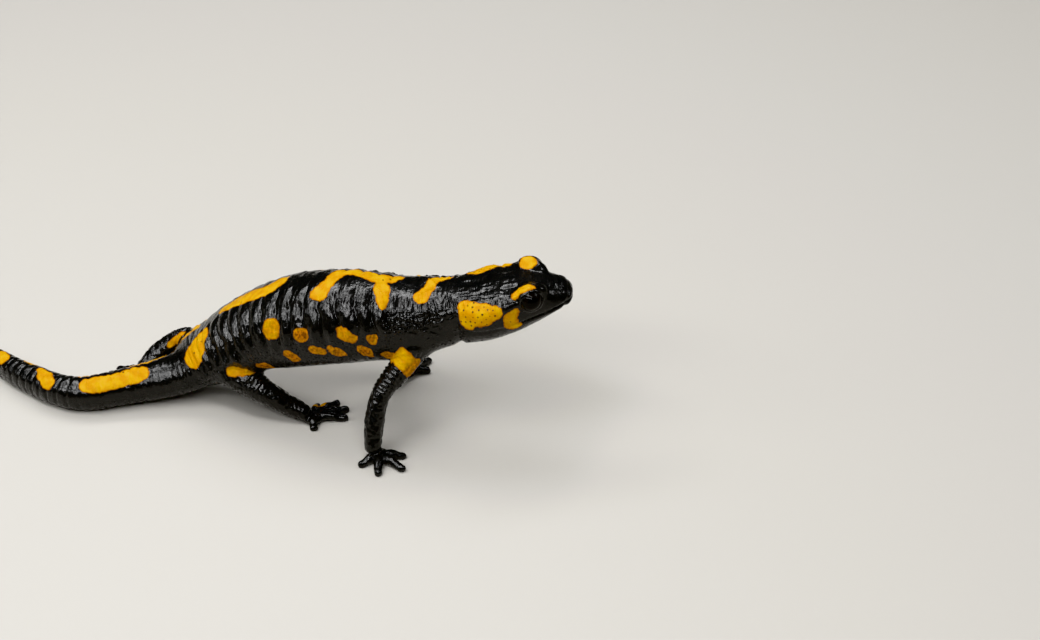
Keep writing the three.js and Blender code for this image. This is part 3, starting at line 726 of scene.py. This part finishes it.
# ---- Markings ----
# Each marking is a chain of round patches, fused. It begins with how amber it is, from 0 to 1: partly the
# yellow's own amber and partly painted shade, set high for patches low on the flanks and under the body. On
# the body a patch is given by its distance back from the snout in mm, its angle in degrees up from the right
# side over the back, and its radius.
BODY_MARKINGS = {
    "right parotoid": [(
        0.1, (22.8, 40, 1.6), (23.0, 11, 1.5), (16.8, 21, 1.6), (22.8, 40, 1.6), (19.7, 25, 2.85),
    )],
    "left parotoid": [(
        0.1, (23.2, 118, 0.8), (20.8, 124, 1.7), (18.4, 137, 1.9), (16.1, 147, 1.8), (13.5, 141, 1.0),
    )],
    "right cheek": [(
        0.05, (12.2, 12, 0.5), (13.0, 7, 0.8), (14.0, 0, 1.0), (14.3, -9, 1.0), (13.6, -19, 0.75),
        (12.5, -21, 0.35),
    )],
    "left cheek": [(0.2, (12.6, 168, 0.6), (13.7, 184, 1.1), (13.5, 198, 0.9))],
    "neck": [(0.1, (33.6, 67, 1.9), (31.7, 87, 1.0), (30.8, 105, 1.2), (28.6, 112, 0.9), (27.4, 114, 0.5))],
    "back band": [(
        0.1, (55.0, 64, 2.0), (53.7, 82, 1.2), (53.0, 95, 1.4), (51.8, 106, 1.4), (49.9, 110, 1.6),
        (47.7, 105, 1.65), (45.4, 100, 1.55), (43.6, 98, 1.6), (41.4, 100, 1.35), (39.6, 107, 0.9),
        (38.8, 111, 0.5),
    )],
    "back band's arm": [(0.1, (43.4, 95, 1.3), (42.8, 76, 1.65), (42.4, 58, 1.2), (42.3, 45, 0.55))],
    "loin stripe": [(
        0.1, (80.8, 90, 1.1), (77.3, 88, 1.6), (73.1, 84, 1.75), (69.6, 81, 1.7), (67.2, 84, 1.75),
        (65.8, 93, 1.6), (64.9, 103, 0.9),
    )],
    "right flank, upper": [
        (0.35, (65.4, 28, 1.8), (65.9, 21, 1.8)),
        (0.85, (59.2, 12, 1.7)),
        (0.5, (50.9, 15, 0.75), (50.3, 9, 1.15), (48.9, 3, 1.0)),
        (0.75, (45.5, 3, 0.7), (44.9, 0, 1.1)),
    ],
    "right flank, lower": [
        (0.85, (74.1, -27, 1.1), (72.3, -31, 1.4), (71.9, -42, 0.9)),
        (0.85, (64.0, -9, 1.2), (63.0, -20, 1.25)),
        (0.75, (57.4, -8, 1.25), (55.9, -12, 1.05)),
        (0.8, (53.7, -7, 0.7), (52.7, -15, 1.15), (51.4, -20, 0.6)),
        (0.85, (47.8, -12, 0.9), (46.7, -20, 1.1), (46.0, -30, 0.4)),
        (0.85, (43.3, -26, 0.7), (42.3, -30, 1.0), (41.2, -30, 0.65)),
    ],
    "right hip": [(0.1, (86.5, 65, 1.7), (87.9, 58, 2.4), (90.2, 53, 3.0), (92.9, 52, 2.95))],
    "tail bar": [(
        0.1, (119.9, 61, 2.25), (117.7, 61, 2.2), (114.8, 60, 2.0), (112.2, 62, 2.1), (109.3, 66, 2.25),
        (107.9, 68, 2.2),
    )],
    "tail": [
        (0.1, (133.6, 99, 1.15), (131.0, 75, 1.6), (129.1, 52, 1.75)),
        (0.1, (147.6, 92, 1.45), (145.5, 68, 1.65)),
        (0.15, (159.1, 74, 0.8), (156.3, 60, 0.9)),
        (0.2, (168.6, 95, 0.5), (166.6, 88, 0.6)),
    ],
    "left shoulder": [(0.1, (35.6, 140, 1.5), (37.6, 150, 1.9), (37.1, 163, 1.3))],
    "left back": [(0.1, (58.1, 132, 1.2), (60.7, 140, 2.0), (61.7, 152, 1.5))],
    "left flank, upper": [
        (0.3, (48.6, 150, 1.7), (47.7, 160, 1.4)),
        (0.35, (69.7, 152, 1.6), (71.1, 163, 1.8)),
        (0.45, (79.1, 150, 1.3), (80.7, 144, 1.5)),
    ],
    "left flank, lower": [
        (0.8, (45.1, 200, 1.1), (47.5, 206, 1.2)),
        (0.8, (53.7, 193, 1.4), (55.9, 190, 1.2)),
        (0.85, (62.7, 200, 1.3), (64.5, 206, 1.3)),
        (0.85, (73.1, 206, 1.4), (75.5, 210, 1.0)),
    ],
    "left hip": [(0.1, (87.1, 118, 1.3), (90.1, 124, 2.0), (93.7, 136, 1.7))],
    "left of the tail": [
        (0.1, (102.1, 132, 1.5), (106.1, 134, 1.6), (109.6, 130, 1.3)),
        (0.1, (117.7, 138, 1.4), (122.1, 133, 1.5)),
        (0.15, (137.5, 128, 1.1), (140.5, 136, 1.0)),
    ],
    "throat": [
        (0.8, (29.4, -56, 0.35), (27.6, -54, 0.3)),
        (0.8, (17.0, 228, 0.7), (18.4, 236, 0.9)),
    ],
    "belly": [
        (0.85, (57.1, -78, 0.8), (58.5, -84, 0.6)),
        (0.85, (69.1, 245, 0.9)),
    ],
}
# On the legs and lids a patch is a ball, given by its place in the stance and its radius.
LIMB_MARKINGS = {
    "right upper arm": [(
        0.15, (4.8, 9.5, 25.3, 0.6), (5.2, 9.2, 22.6, 2.3), (3.0, 10.2, 21.5, 0.6), (5.2, 9.2, 22.0, 2.3),
    )],
    "right upper arm, below": [(0.7, (8.4, 9.0, 21.6, 1.0), (6.6, 8.7, 20.6, 1.9), (6.2, 8.6, 19.0, 0.9))],
    "left upper arm": [(0.3, (6.0, 31.0, 21.6, 2.1), (4.4, 33.2, 19.6, 1.8))],
    "right thigh": [(
        0.2, (-34.4, 18.9, 13.0, 1.85), (-32.4, 19.2, 12.5, 1.65), (-30.3, 18.7, 12.3, 0.7),
        (-29.2, 18.9, 11.8, 0.3),
    )],
    "left knee": [(0.4, (-47.8, 36.9, 11.4, 0.6), (-49.5, 36.5, 9.9, 0.75), (-51.3, 36.6, 8.3, 0.8))],
    "right foot": [(0.2, (-17.8, 20.8, 3.0, 1.3), (-14.9, 20.6, 2.8, 1.3))],
    "left foot": [(0.2, (-62.0, 40.2, 2.4, 1.0))],
    "left hand": [(0.4, (3.6, 37.2, 3.4, 0.9))],
    "left lid": [(0.0, (33.2, 21.2, 41.2, 2.2))],
    "right lid": [(
        0.15, (30.3, 9.2, 38.9, 0.5), (30.4, 9.6, 39.6, 0.8), (31.1, 10.2, 40.3, 0.95),
        (32.6, 9.8, 41.4, 0.85), (34.0, 9.9, 41.6, 0.6), (35.1, 10.1, 41.3, 0.3),
    )],
}

AMBER_BLEND = 0.5  # mm over which bright yellow and amber yellow, with its painted shade, pass into each other
MERGE = Sizes(within=1.2, depth=0.3)  # how the patches of one chain run together, in mm
FAR = 20.0  # mm, a gap that counts as nowhere near
CHAIN_RANGE = 6  # mm before and behind a chain on the body in which it is laid
BALL_RANGE = 9  # mm round the middle of a chain on a leg or lid


def patch_gap(places, chain):
    """Distance from places to a chain of patches, in mm, less than 0 inside. The last column is a radius."""
    chain = [np.asarray(link, float) for link in chain]
    if len(chain) == 1:
        chain = chain * 2
    nearest = np.full(len(places), np.inf)
    for a, b in zip(chain, chain[1:]):
        span = b[..., :-1] - a[..., :-1]
        reach = np.maximum((span**2).sum(-1), 1e-9)
        t = np.clip(((places - a[..., :-1]) * span).sum(-1) / reach, 0, 1)
        at = a[..., :-1] + t[:, None] * span
        gap = np.linalg.norm(places - at, axis=1) - (a[..., -1] + t * (b[..., -1] - a[..., -1]))
        close = np.clip(1 - np.abs(nearest - gap) / MERGE.within, 0, 1)
        nearest = np.minimum(nearest, gap) - np.where(np.isfinite(nearest), close**2 * MERGE.depth, 0)
    return nearest


def markings(skin):
    """How deep each point lies inside the yellow, in mm, and how amber that yellow is, its painted shade
    included.
    """
    gap = np.full(len(skin.points), FAR)
    total = np.full(len(skin.points), 1e-9)
    amber_and_shade = np.zeros(len(skin.points))
    girth = np.interp(skin.u, np.arange(BODY_PATH.last + 1), BODY_PATH.girth.mean(1))
    degrees = np.degrees(skin.angle)
    degrees = np.where(degrees < -90, degrees + 360, degrees)

    def lay(rows, near, brown):
        gap[rows] = np.minimum(gap[rows], near)
        share = np.exp(-near / AMBER_BLEND)
        total[rows] += share
        amber_and_shade[rows] += share * brown

    for brown, *chain in itertools.chain(*BODY_MARKINGS.values()):
        lengths = [link[0] for link in chain]
        rows = np.flatnonzero((skin.length > min(lengths) - CHAIN_RANGE)
                              & (skin.length < max(lengths) + CHAIN_RANGE))
        mid = chain[0][1]
        turn = (degrees[rows] - mid + 180) % 360 - 180
        per_degree = girth[rows] * math.pi / 180
        places = np.stack([skin.length[rows], turn * per_degree], 1)
        links = [np.stack([np.full(len(rows), s), (angle - mid) * per_degree, np.full(len(rows), r)], 1)
                 for s, angle, r in chain]
        lay(rows, np.where(skin.on_body[rows] > 0.35, patch_gap(places, links), FAR), brown)
    for brown, *chain in itertools.chain(*LIMB_MARKINGS.values()):
        middle = np.mean([link[:3] for link in chain], axis=0)
        rows = np.flatnonzero(np.linalg.norm(skin.points - middle, axis=1) < BALL_RANGE)
        lay(rows, patch_gap(skin.points[rows], chain), brown)
    return -gap, amber_and_shade / total


# ---- Where the scattered pieces grow ----
def tubercle_density(skin, depth):
    """Large tubercles: over the shoulder."""
    shoulder = bump(skin.length, 37, 7.5) * bump(skin.rise, math.radians(24), math.radians(24))
    return np.clip(3 * shoulder, 0, 1) * skin.on_body * (depth < -0.5)


def granule_density(skin, depth):
    """Fine granules: low on the flanks, under the jaw and on the roots of the legs."""
    flank = skin.stretch(36, 44, 92, 102) * skin.between(-34, 8, 12)
    jaw = bump(skin.length, 27, 9) * skin.between(-42, 2, 12)
    roots = 0.3 * (1 - skin.on_body) * step(2.2, 0.5, skin.leg_place)
    clear = depth < -0.35
    return np.clip(0.8 * flank + 0.5 * jaw, 0, 1) * skin.on_body * clear + roots * clear


def pore_density(skin, depth):
    """The mouths of poison glands: in the yellow of the parotoids, and here and there on the back."""
    gland = bump(skin.length, 20.5, 8) * (skin.rise > math.radians(-5))
    back = skin.stretch(30, 40, 100, 120, 0.12) * (skin.rise > math.radians(40))
    return np.clip(gland + back, 0, 1) * skin.on_body * (depth > 0.35)


# ---- The skin ----
def set_points(made, points):
    """Moves the mesh's points and gives its new normals."""
    made.data.vertices.foreach_set("co", points.ravel())
    made.data.update()
    return read(made.data.vertices, "co", 3), read(made.data.vertex_normals, "vector", 3)


def store(made, name, values):
    """Keeps a value, or a place, for each of the mesh's points."""
    values = np.asarray(values, np.float32)
    kind, field = ("FLOAT_VECTOR", "vector") if values.ndim > 1 else ("FLOAT", "value")
    made.data.attributes.new(name, kind, "POINT").data.foreach_set(field, values.ravel())


def dress(made, material):
    """Shades a piece smoothly and gives it its one material."""
    made.data.polygons.foreach_set("use_smooth", np.ones(len(made.data.polygons), bool))
    made.data.materials.clear()
    made.data.materials.append(material)
    return made


def soften(skin, edges):
    """Rounds the creases that fusing leaves round the eyes and where the legs leave the trunk."""
    gap = np.min([np.linalg.norm(skin.points - eye_frame(hand)[0], axis=1) for hand in (1, -1)], axis=0)
    brow = step(2.9, 3.9, gap) * step(8.5, 5.5, gap)
    points = relax(skin.points, edges, ROUND_OFF * 30, brow[:, None])
    return relax(points, edges, ROUND_OFF * 50, skin.leg_root(1.8)[:, None])


def build_skin(material):
    """The body's one skin: fused, folded, wrinkled and thinned, with its markings kept on its points."""
    body = fused_body()
    edges = read(body.data.edges, "vertices", 2, np.int32)
    points = relax(read(body.data.vertices, "co", 3), edges, EVEN_OUT * 5)
    points = soften(Skin(*set_points(body, points)), edges)
    skin = Skin(*set_points(body, points))
    points = skin.points + skin.normals * skin.relief()[:, None]
    points = shape_lids(relax(points, edges, EVEN_OUT * 8, skin.leg_root(1.0)[:, None]))
    points[:, 2] = np.maximum(points[:, 2], 0)
    set_points(body, points)

    triangles = 2 * len(body.data.polygons)
    if triangles > SKIN_TRIANGLES:
        thin = body.modifiers.new("thin", "DECIMATE")
        thin.ratio = SKIN_TRIANGLES / triangles
        settle(body)

    skin = Skin(read(body.data.vertices, "co", 3), read(body.data.vertex_normals, "vector", 3))
    depth, amber_and_shade = markings(skin)
    # The amber share kept here is partly the yellow's own amber and partly painted shade low on the body.
    kept = dict(spot=depth, amber_and_shade=amber_and_shade, tubercles=tubercle_density(skin, depth),
                granules=granule_density(skin, depth), gland_pores=pore_density(skin, depth), hide=skin.flat)
    for name, values in kept.items():
        store(body, name, values)
    set_points(body, (skin.points - STANCE_CENTRE) * MM)
    return dress(body, material)


# ---- Scattered pieces, by Geometry Nodes ----
def scatter(skin, name, material, seed, flatness, **lengths):
    """Small domes set on the skin, as thick as its values of the same name say.

    Their lengths in mm, their flatness and their seed are the named inputs of one node tree.
    """
    tree = bpy.data.node_groups.new(name, "GeometryNodeTree")
    values = {socket: length * MM for socket, length in lengths.items()} | dict(Flatness=flatness, Seed=seed)
    sockets = dict(Skin="Geometry") | {socket: "Float" for socket in values} | dict(Seed="Int")
    for socket, kind in sockets.items():
        tree.interface.new_socket(socket, in_out="INPUT", socket_type="NodeSocket" + kind)
    tree.interface.new_socket("Domes", in_out="OUTPUT", socket_type="NodeSocketGeometry")

    new = functools.partial(add, tree)
    given = new("NodeGroupInput").outputs
    wanted = new("GeometryNodeInputNamedAttribute", {"Name": name}, data_type="FLOAT")
    points = new("GeometryNodeDistributePointsOnFaces",
                 {"Mesh": given["Skin"], "Distance Min": given["Spacing"], "Density Max": MOST_DOMES,
                  "Density Factor": wanted, "Seed": given["Seed"]}, distribute_method="POISSON")
    dome = new("GeometryNodeMeshUVSphere", {"Segments": 8, "Rings": 6, "Radius": 1.0})
    size = new("FunctionNodeRandomValue",
               {2: given["Smallest"], 3: given["Largest"], "Seed": given["Seed"]}, data_type="FLOAT")
    height = new(MATH, {0: size, 1: given["Flatness"]}, **TIMES)
    scale = new("ShaderNodeCombineXYZ", {0: size, 1: size, 2: height})
    placed = new("GeometryNodeInstanceOnPoints",
                 {"Points": points, "Instance": dome, "Rotation": points.outputs["Rotation"], "Scale": scale})
    down = new(MATH, {0: given["Sunk"], 1: -1.0}, **TIMES)
    offset = new("ShaderNodeCombineXYZ", {2: down})
    lowered = new("GeometryNodeTranslateInstances", {"Instances": placed, "Translation": offset})
    real = new("GeometryNodeRealizeInstances", {"Geometry": lowered})
    new("NodeGroupOutput", {0: new("GeometryNodeSetMaterial", {0: real, "Material": material})})

    piece = bpy.data.objects.new(name, skin.data.copy())
    bpy.context.scene.collection.objects.link(piece)
    modifier = piece.modifiers.new(name, "NODES")
    modifier.node_group = tree
    for item in tree.interface.items_tree:
        if item.in_out == "INPUT" and item.name in values:
            modifier[item.identifier] = values[item.name]
    return dress(settle(piece), material)


# ---- Eyeballs ----
PUPIL = math.radians(24)
IRIS = math.radians(52)
CORNEA = Sizes(height=0.12, reach=math.radians(58))  # how far it stands out over the ball, in mm


def build_eye(name, hand, material):
    """A ball with a slight cornea, which knows how far each point lies from its line of sight."""
    centre, axes = eye_frame(hand)
    points, faces = ball(np.zeros(3), np.ones(3), segments=96)
    turn = np.arccos(np.clip(points[:, 2], -1, 1))
    points = points * (EYE + CORNEA.height * bump(turn, 0, CORNEA.reach))[:, None]
    eye = mesh_object(name, (points @ axes + centre - STANCE_CENTRE) * MM, faces)
    store(eye, "gaze", turn)
    return dress(eye, material)


# ---- Materials ----
def new_material(name):
    """A material, and the surface that its looks are plugged into."""
    material = bpy.data.materials.new(name)
    material.use_nodes = True
    tree = material.node_tree
    tree.nodes.clear()
    surface = add(tree, "ShaderNodeBsdfPrincipled")
    add(tree, "ShaderNodeOutputMaterial", {"Surface": surface})
    return material, surface


def wet_skin():
    """Amphibian skin: thin, granular and always wet, so a clear film lies over a duller hide.

    The black is pigment, deep and slightly warm. The yellow is thick and even on the back and turns
    amber and flecked with black low on the flanks, where part of that amber and brown is painted shade.
    """
    material, surface = new_material("wet_salamander_skin")
    new = functools.partial(add, material.node_tree)
    place = new("ShaderNodeTexCoord").outputs["Object"]
    spot = new("ShaderNodeAttribute", attribute_name="spot").outputs["Fac"]
    # The amber share carries the markings' own amber together with painted shade low on the body.
    amber_and_shade = new("ShaderNodeAttribute", attribute_name="amber_and_shade").outputs["Fac"]
    hide = new("ShaderNodeAttribute", attribute_name="hide").outputs["Vector"]
    # Six patterns, each with the size of its patches in mm and its detail.
    border, flecks, gold, rust, mottle, soot = (
        new(NOISE, {"Vector": place, "Scale": 1 / (size * MM), "Detail": detail})
        for size, detail in [(1.3, 3), (0.5, 2), (2.2, 2), (0.7, 3), (0.8, 2), (1.5, 4)])

    # The border of the yellow wanders by a fifth of a millimetre and is 0.17 mm soft.
    wander = new(RANGE, {0: border, 1: 0.3, 2: 0.7, 3: -0.2, 4: 0.2})
    depth = new(MATH, {0: spot, 1: wander}, operation="ADD")
    inside = new(RANGE, {0: depth, 1: -0.07, 2: 0.10}, **SOFT)
    fleck = new(RANGE, {0: flecks, 1: 0.42, 2: 0.34}, **SOFT)
    flecked = new(RANGE, {0: amber_and_shade, 1: 0.4, 2: 0.9, 4: 0.6}, **SOFT)
    gaps = new(MATH, {0: fleck, 1: flecked}, **TIMES)
    whole = new(MATH, {0: 1.0, 1: gaps}, operation="SUBTRACT")
    yellow_share = new(MATH, {0: inside, 1: whole}, **TIMES)

    # Each colour lies in patches of two tones; the brown is partly the amber's own colour and partly painted
    # shade.
    bright, brown, black = (
        new(MIX, {0: new(RANGE, {0: patches, 1: low, 2: high}, **SOFT), 6: linear(first), 7: linear(second)},
            **COLOURS)
        for patches, low, high, first, second in [
            (gold, 0.35, 0.65, "#be8702", "#cda104"), (rust, 0.38, 0.62, "#6b380e", "#b86f18"),
            (soot, 0.35, 0.7, "#060605", "#100f0d")])
    # The yellow is duller at its rim, and browner towards the middle of each amber patch, a brown that is
    # partly painted shade.
    share = new(RANGE, {0: depth, 1: 0.0, 2: 0.5}, **SOFT)
    rimmed = new(MIX, {0: share, 6: linear("#a46304"), 7: bright}, **COLOURS)
    mottled = new(MATH, {0: depth, 1: mottle}, operation="ADD")
    inner = new(RANGE, {0: mottled, 1: 0.5, 2: 1.3, 3: 0.55, 4: 1.1}, **SOFT)
    share = new(MATH, {0: amber_and_shade, 1: inner}, **TIMES)
    yellow = new(MIX, {0: share, 6: rimmed, 7: brown}, **COLOURS)

    # Ripples run across the body between grains of skin about 0.4 mm wide.
    across = new("ShaderNodeVectorMath", {0: hide, 1: (1.0, 0.18, 0.18)}, **TIMES)
    ripples = new(NOISE, {"Vector": across, "Scale": 1 / 1.05, "Detail": 3})
    grains = new("ShaderNodeTexVoronoi", {"Vector": place, "Scale": 1 / (0.42 * MM)}, feature="SMOOTH_F1")
    height = 0.0
    for pattern, weight in ((grains, -0.14), (mottle, 0.3), (ripples, 1.4)):
        part = new(MATH, {0: pattern, 1: weight}, **TIMES)
        height = new(MATH, {0: height, 1: part}, operation="ADD")
    relief = new("ShaderNodeBump", {"Strength": 1.0, "Distance": 0.2 * MM, "Height": height})

    # The film is thinner and the hide flatter over the yellow glands.
    plug(surface, {
        "Base Color": new(MIX, {0: yellow_share, 6: black, 7: yellow}, **COLOURS),
        "Roughness": new(RANGE, {0: rust, 1: 0.3, 2: 0.7, 3: 0.34, 4: 0.5}),
        "IOR": 1.42,
        "Specular IOR Level": new(RANGE, {0: yellow_share, 3: 0.14, 4: 0.05}, **SOFT),
        "Coat Weight": new(RANGE, {0: yellow_share, 3: 0.95, 4: 0.1}, **SOFT),
        "Coat Roughness": 0.2,
        "Coat IOR": 1.5,
        "Normal": relief,
        "Coat Normal": relief,
    })
    return material


def gland_pore():
    """The mouths of poison glands as dark brown dots, duller than the skin round them: a brown stain with the
    shade of each open pit painted in.
    """
    material, surface = new_material("gland_pores")
    plug(surface, {"Base Color": linear("#381405"), "Roughness": 0.5})
    return material


def wet_eye():
    """An amphibian's eye: a black pupil in a dark brown iris, flecked with dull gold, under a wet cornea."""
    material, surface = new_material("wet_dark_eye")
    new = functools.partial(add, material.node_tree)
    place = new("ShaderNodeTexCoord").outputs["Object"]
    gaze = new("ShaderNodeAttribute", attribute_name="gaze").outputs["Fac"]
    gold = new(NOISE, {"Vector": place, "Scale": 1 / (0.25 * MM), "Detail": 3})
    fleck = new(RANGE, {0: gold, 1: 0.56, 2: 0.72})
    iris = new(MIX, {0: fleck, 6: linear("#060403"), 7: linear("#1a1008")}, **COLOURS)
    inner = new(RANGE, {0: gaze, 1: PUPIL, 2: PUPIL + 0.06})
    outer = new(RANGE, {0: gaze, 1: IRIS, 2: IRIS - 0.12})
    share = new(MATH, {0: inner, 1: outer}, **TIMES)
    colour = new(MIX, {0: share, 6: linear("#020202"), 7: iris}, **COLOURS)
    plug(surface, {"Base Color": colour, "Specular IOR Level": 0.2, "Roughness": 0.1})
    return material


def pale_floor():
    """A smooth studio sweep of painted board."""
    material, surface = new_material("pale_studio_floor")
    plug(surface, {"Base Color": linear("#bdbab4"), "Roughness": 0.75})
    return material


# ---- Stage ----
def in_frame(x, y, z):
    """A place of the stance in metres, in the frame of the solids."""
    return Vector((np.array([x, y, z]) - STANCE_CENTRE) * MM)


def look_from(made, place, target):
    made.location = place
    made.rotation_euler = (target - place).to_track_quat("-Z", "Y").to_euler()
    bpy.context.scene.collection.objects.link(made)


STAGE_CENTRE = (-20, 20, 18)  # the place in the stance, in mm, that the lights look at
# Each light: its place from there and its size, both in metres, and its power in watts.
LIGHTS = {
    "low_strip": ((-0.12, -0.41, 0.42), (0.7, 0.09), 1.9),
    "key_softbox": ((-0.10, -0.20, 0.56), (0.8, 0.13), 2.15),
    "top_softbox": ((-0.10, 0.04, 0.60), (0.8, 0.12), 1.8),
    "back_strip": ((-0.10, 0.30, 0.50), (0.8, 0.12), 1.8),
    "tail_softbox": ((-0.62, -0.16, 0.34), (0.3, 0.3), 0.7),
    "side_softbox": ((0.50, 0.06, 0.42), (0.25, 0.25), 0.7),
}
FLOOR = 3  # half the floor's side, in metres


def build_stage():
    corners = [(-FLOOR, -FLOOR, 0), (FLOOR, -FLOOR, 0), (FLOOR, FLOOR, 0), (-FLOOR, FLOOR, 0)]
    floor = mesh_object("studio_floor", corners, [(0, 1, 2, 3)])
    floor.data.materials.append(pale_floor())

    world = bpy.data.worlds.new("studio")
    bpy.context.scene.world = world
    world.use_nodes = True
    plug(world.node_tree.nodes["Background"], {"Color": linear("#e9edf2"), "Strength": 0.05})

    centre = in_frame(*STAGE_CENTRE)
    for name, (place, size, power) in LIGHTS.items():
        light = bpy.data.lights.new(name, "AREA")
        light.shape = "RECTANGLE"
        light.size, light.size_y = size
        light.energy = power
        look_from(bpy.data.objects.new(name, light), centre + Vector(place), centre)


ELEVATION = math.radians(33)
CAMERA_DISTANCE = 650
CAMERA_TARGET = (31.5, 12.0, 31.2)
LENS = 100
SENSOR = 36
CLIP = (0.01, 20)  # nearest and farthest that the camera sees, in metres


def build_camera():
    camera = bpy.data.cameras.new("camera")
    camera.lens, camera.sensor_width = LENS, SENSOR
    camera.clip_start, camera.clip_end = CLIP
    made = bpy.data.objects.new("camera", camera)
    target = in_frame(*CAMERA_TARGET)
    back = Vector((0, -math.cos(ELEVATION), math.sin(ELEVATION))) * CAMERA_DISTANCE * MM
    look_from(made, target + back, target)
    bpy.context.scene.camera = made


# ---- Putting it together ----
bpy.context.scene.view_settings.view_transform = "Khronos PBR Neutral"
build_camera()
build_stage()

skin_finish = wet_skin()
skin_piece = build_skin(skin_finish)
tubercles = scatter(skin_piece, "tubercles", skin_finish, seed=4, flatness=0.55,
                    Spacing=0.8, Smallest=0.34, Largest=0.54, Sunk=0.04)
granules = scatter(skin_piece, "granules", skin_finish, seed=7, flatness=0.5,
                   Spacing=0.8, Smallest=0.2, Largest=0.36, Sunk=0.02)
# The pores are flat dark discs: their brown stain and the shade inside their pits are painted into their
# colour.
pores = scatter(skin_piece, "gland_pores", gland_pore(), seed=9, flatness=0.2,
                Spacing=1.1, Smallest=0.13, Largest=0.27, Sunk=0.0)
eye_finish = wet_eye()
eyes = {hand: build_eye(f"eyeball_{hand}", sign, eye_finish) for hand, sign in (("left", 1), ("right", -1))}

flesh = [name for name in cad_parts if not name.startswith("eye_")]
for piece in (skin_piece, tubercles, granules, pores):
    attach(piece, "root")
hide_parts(*flesh)
for hand, eye in eyes.items():
    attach(eye, "root")
    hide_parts(f"eye_{hand}")
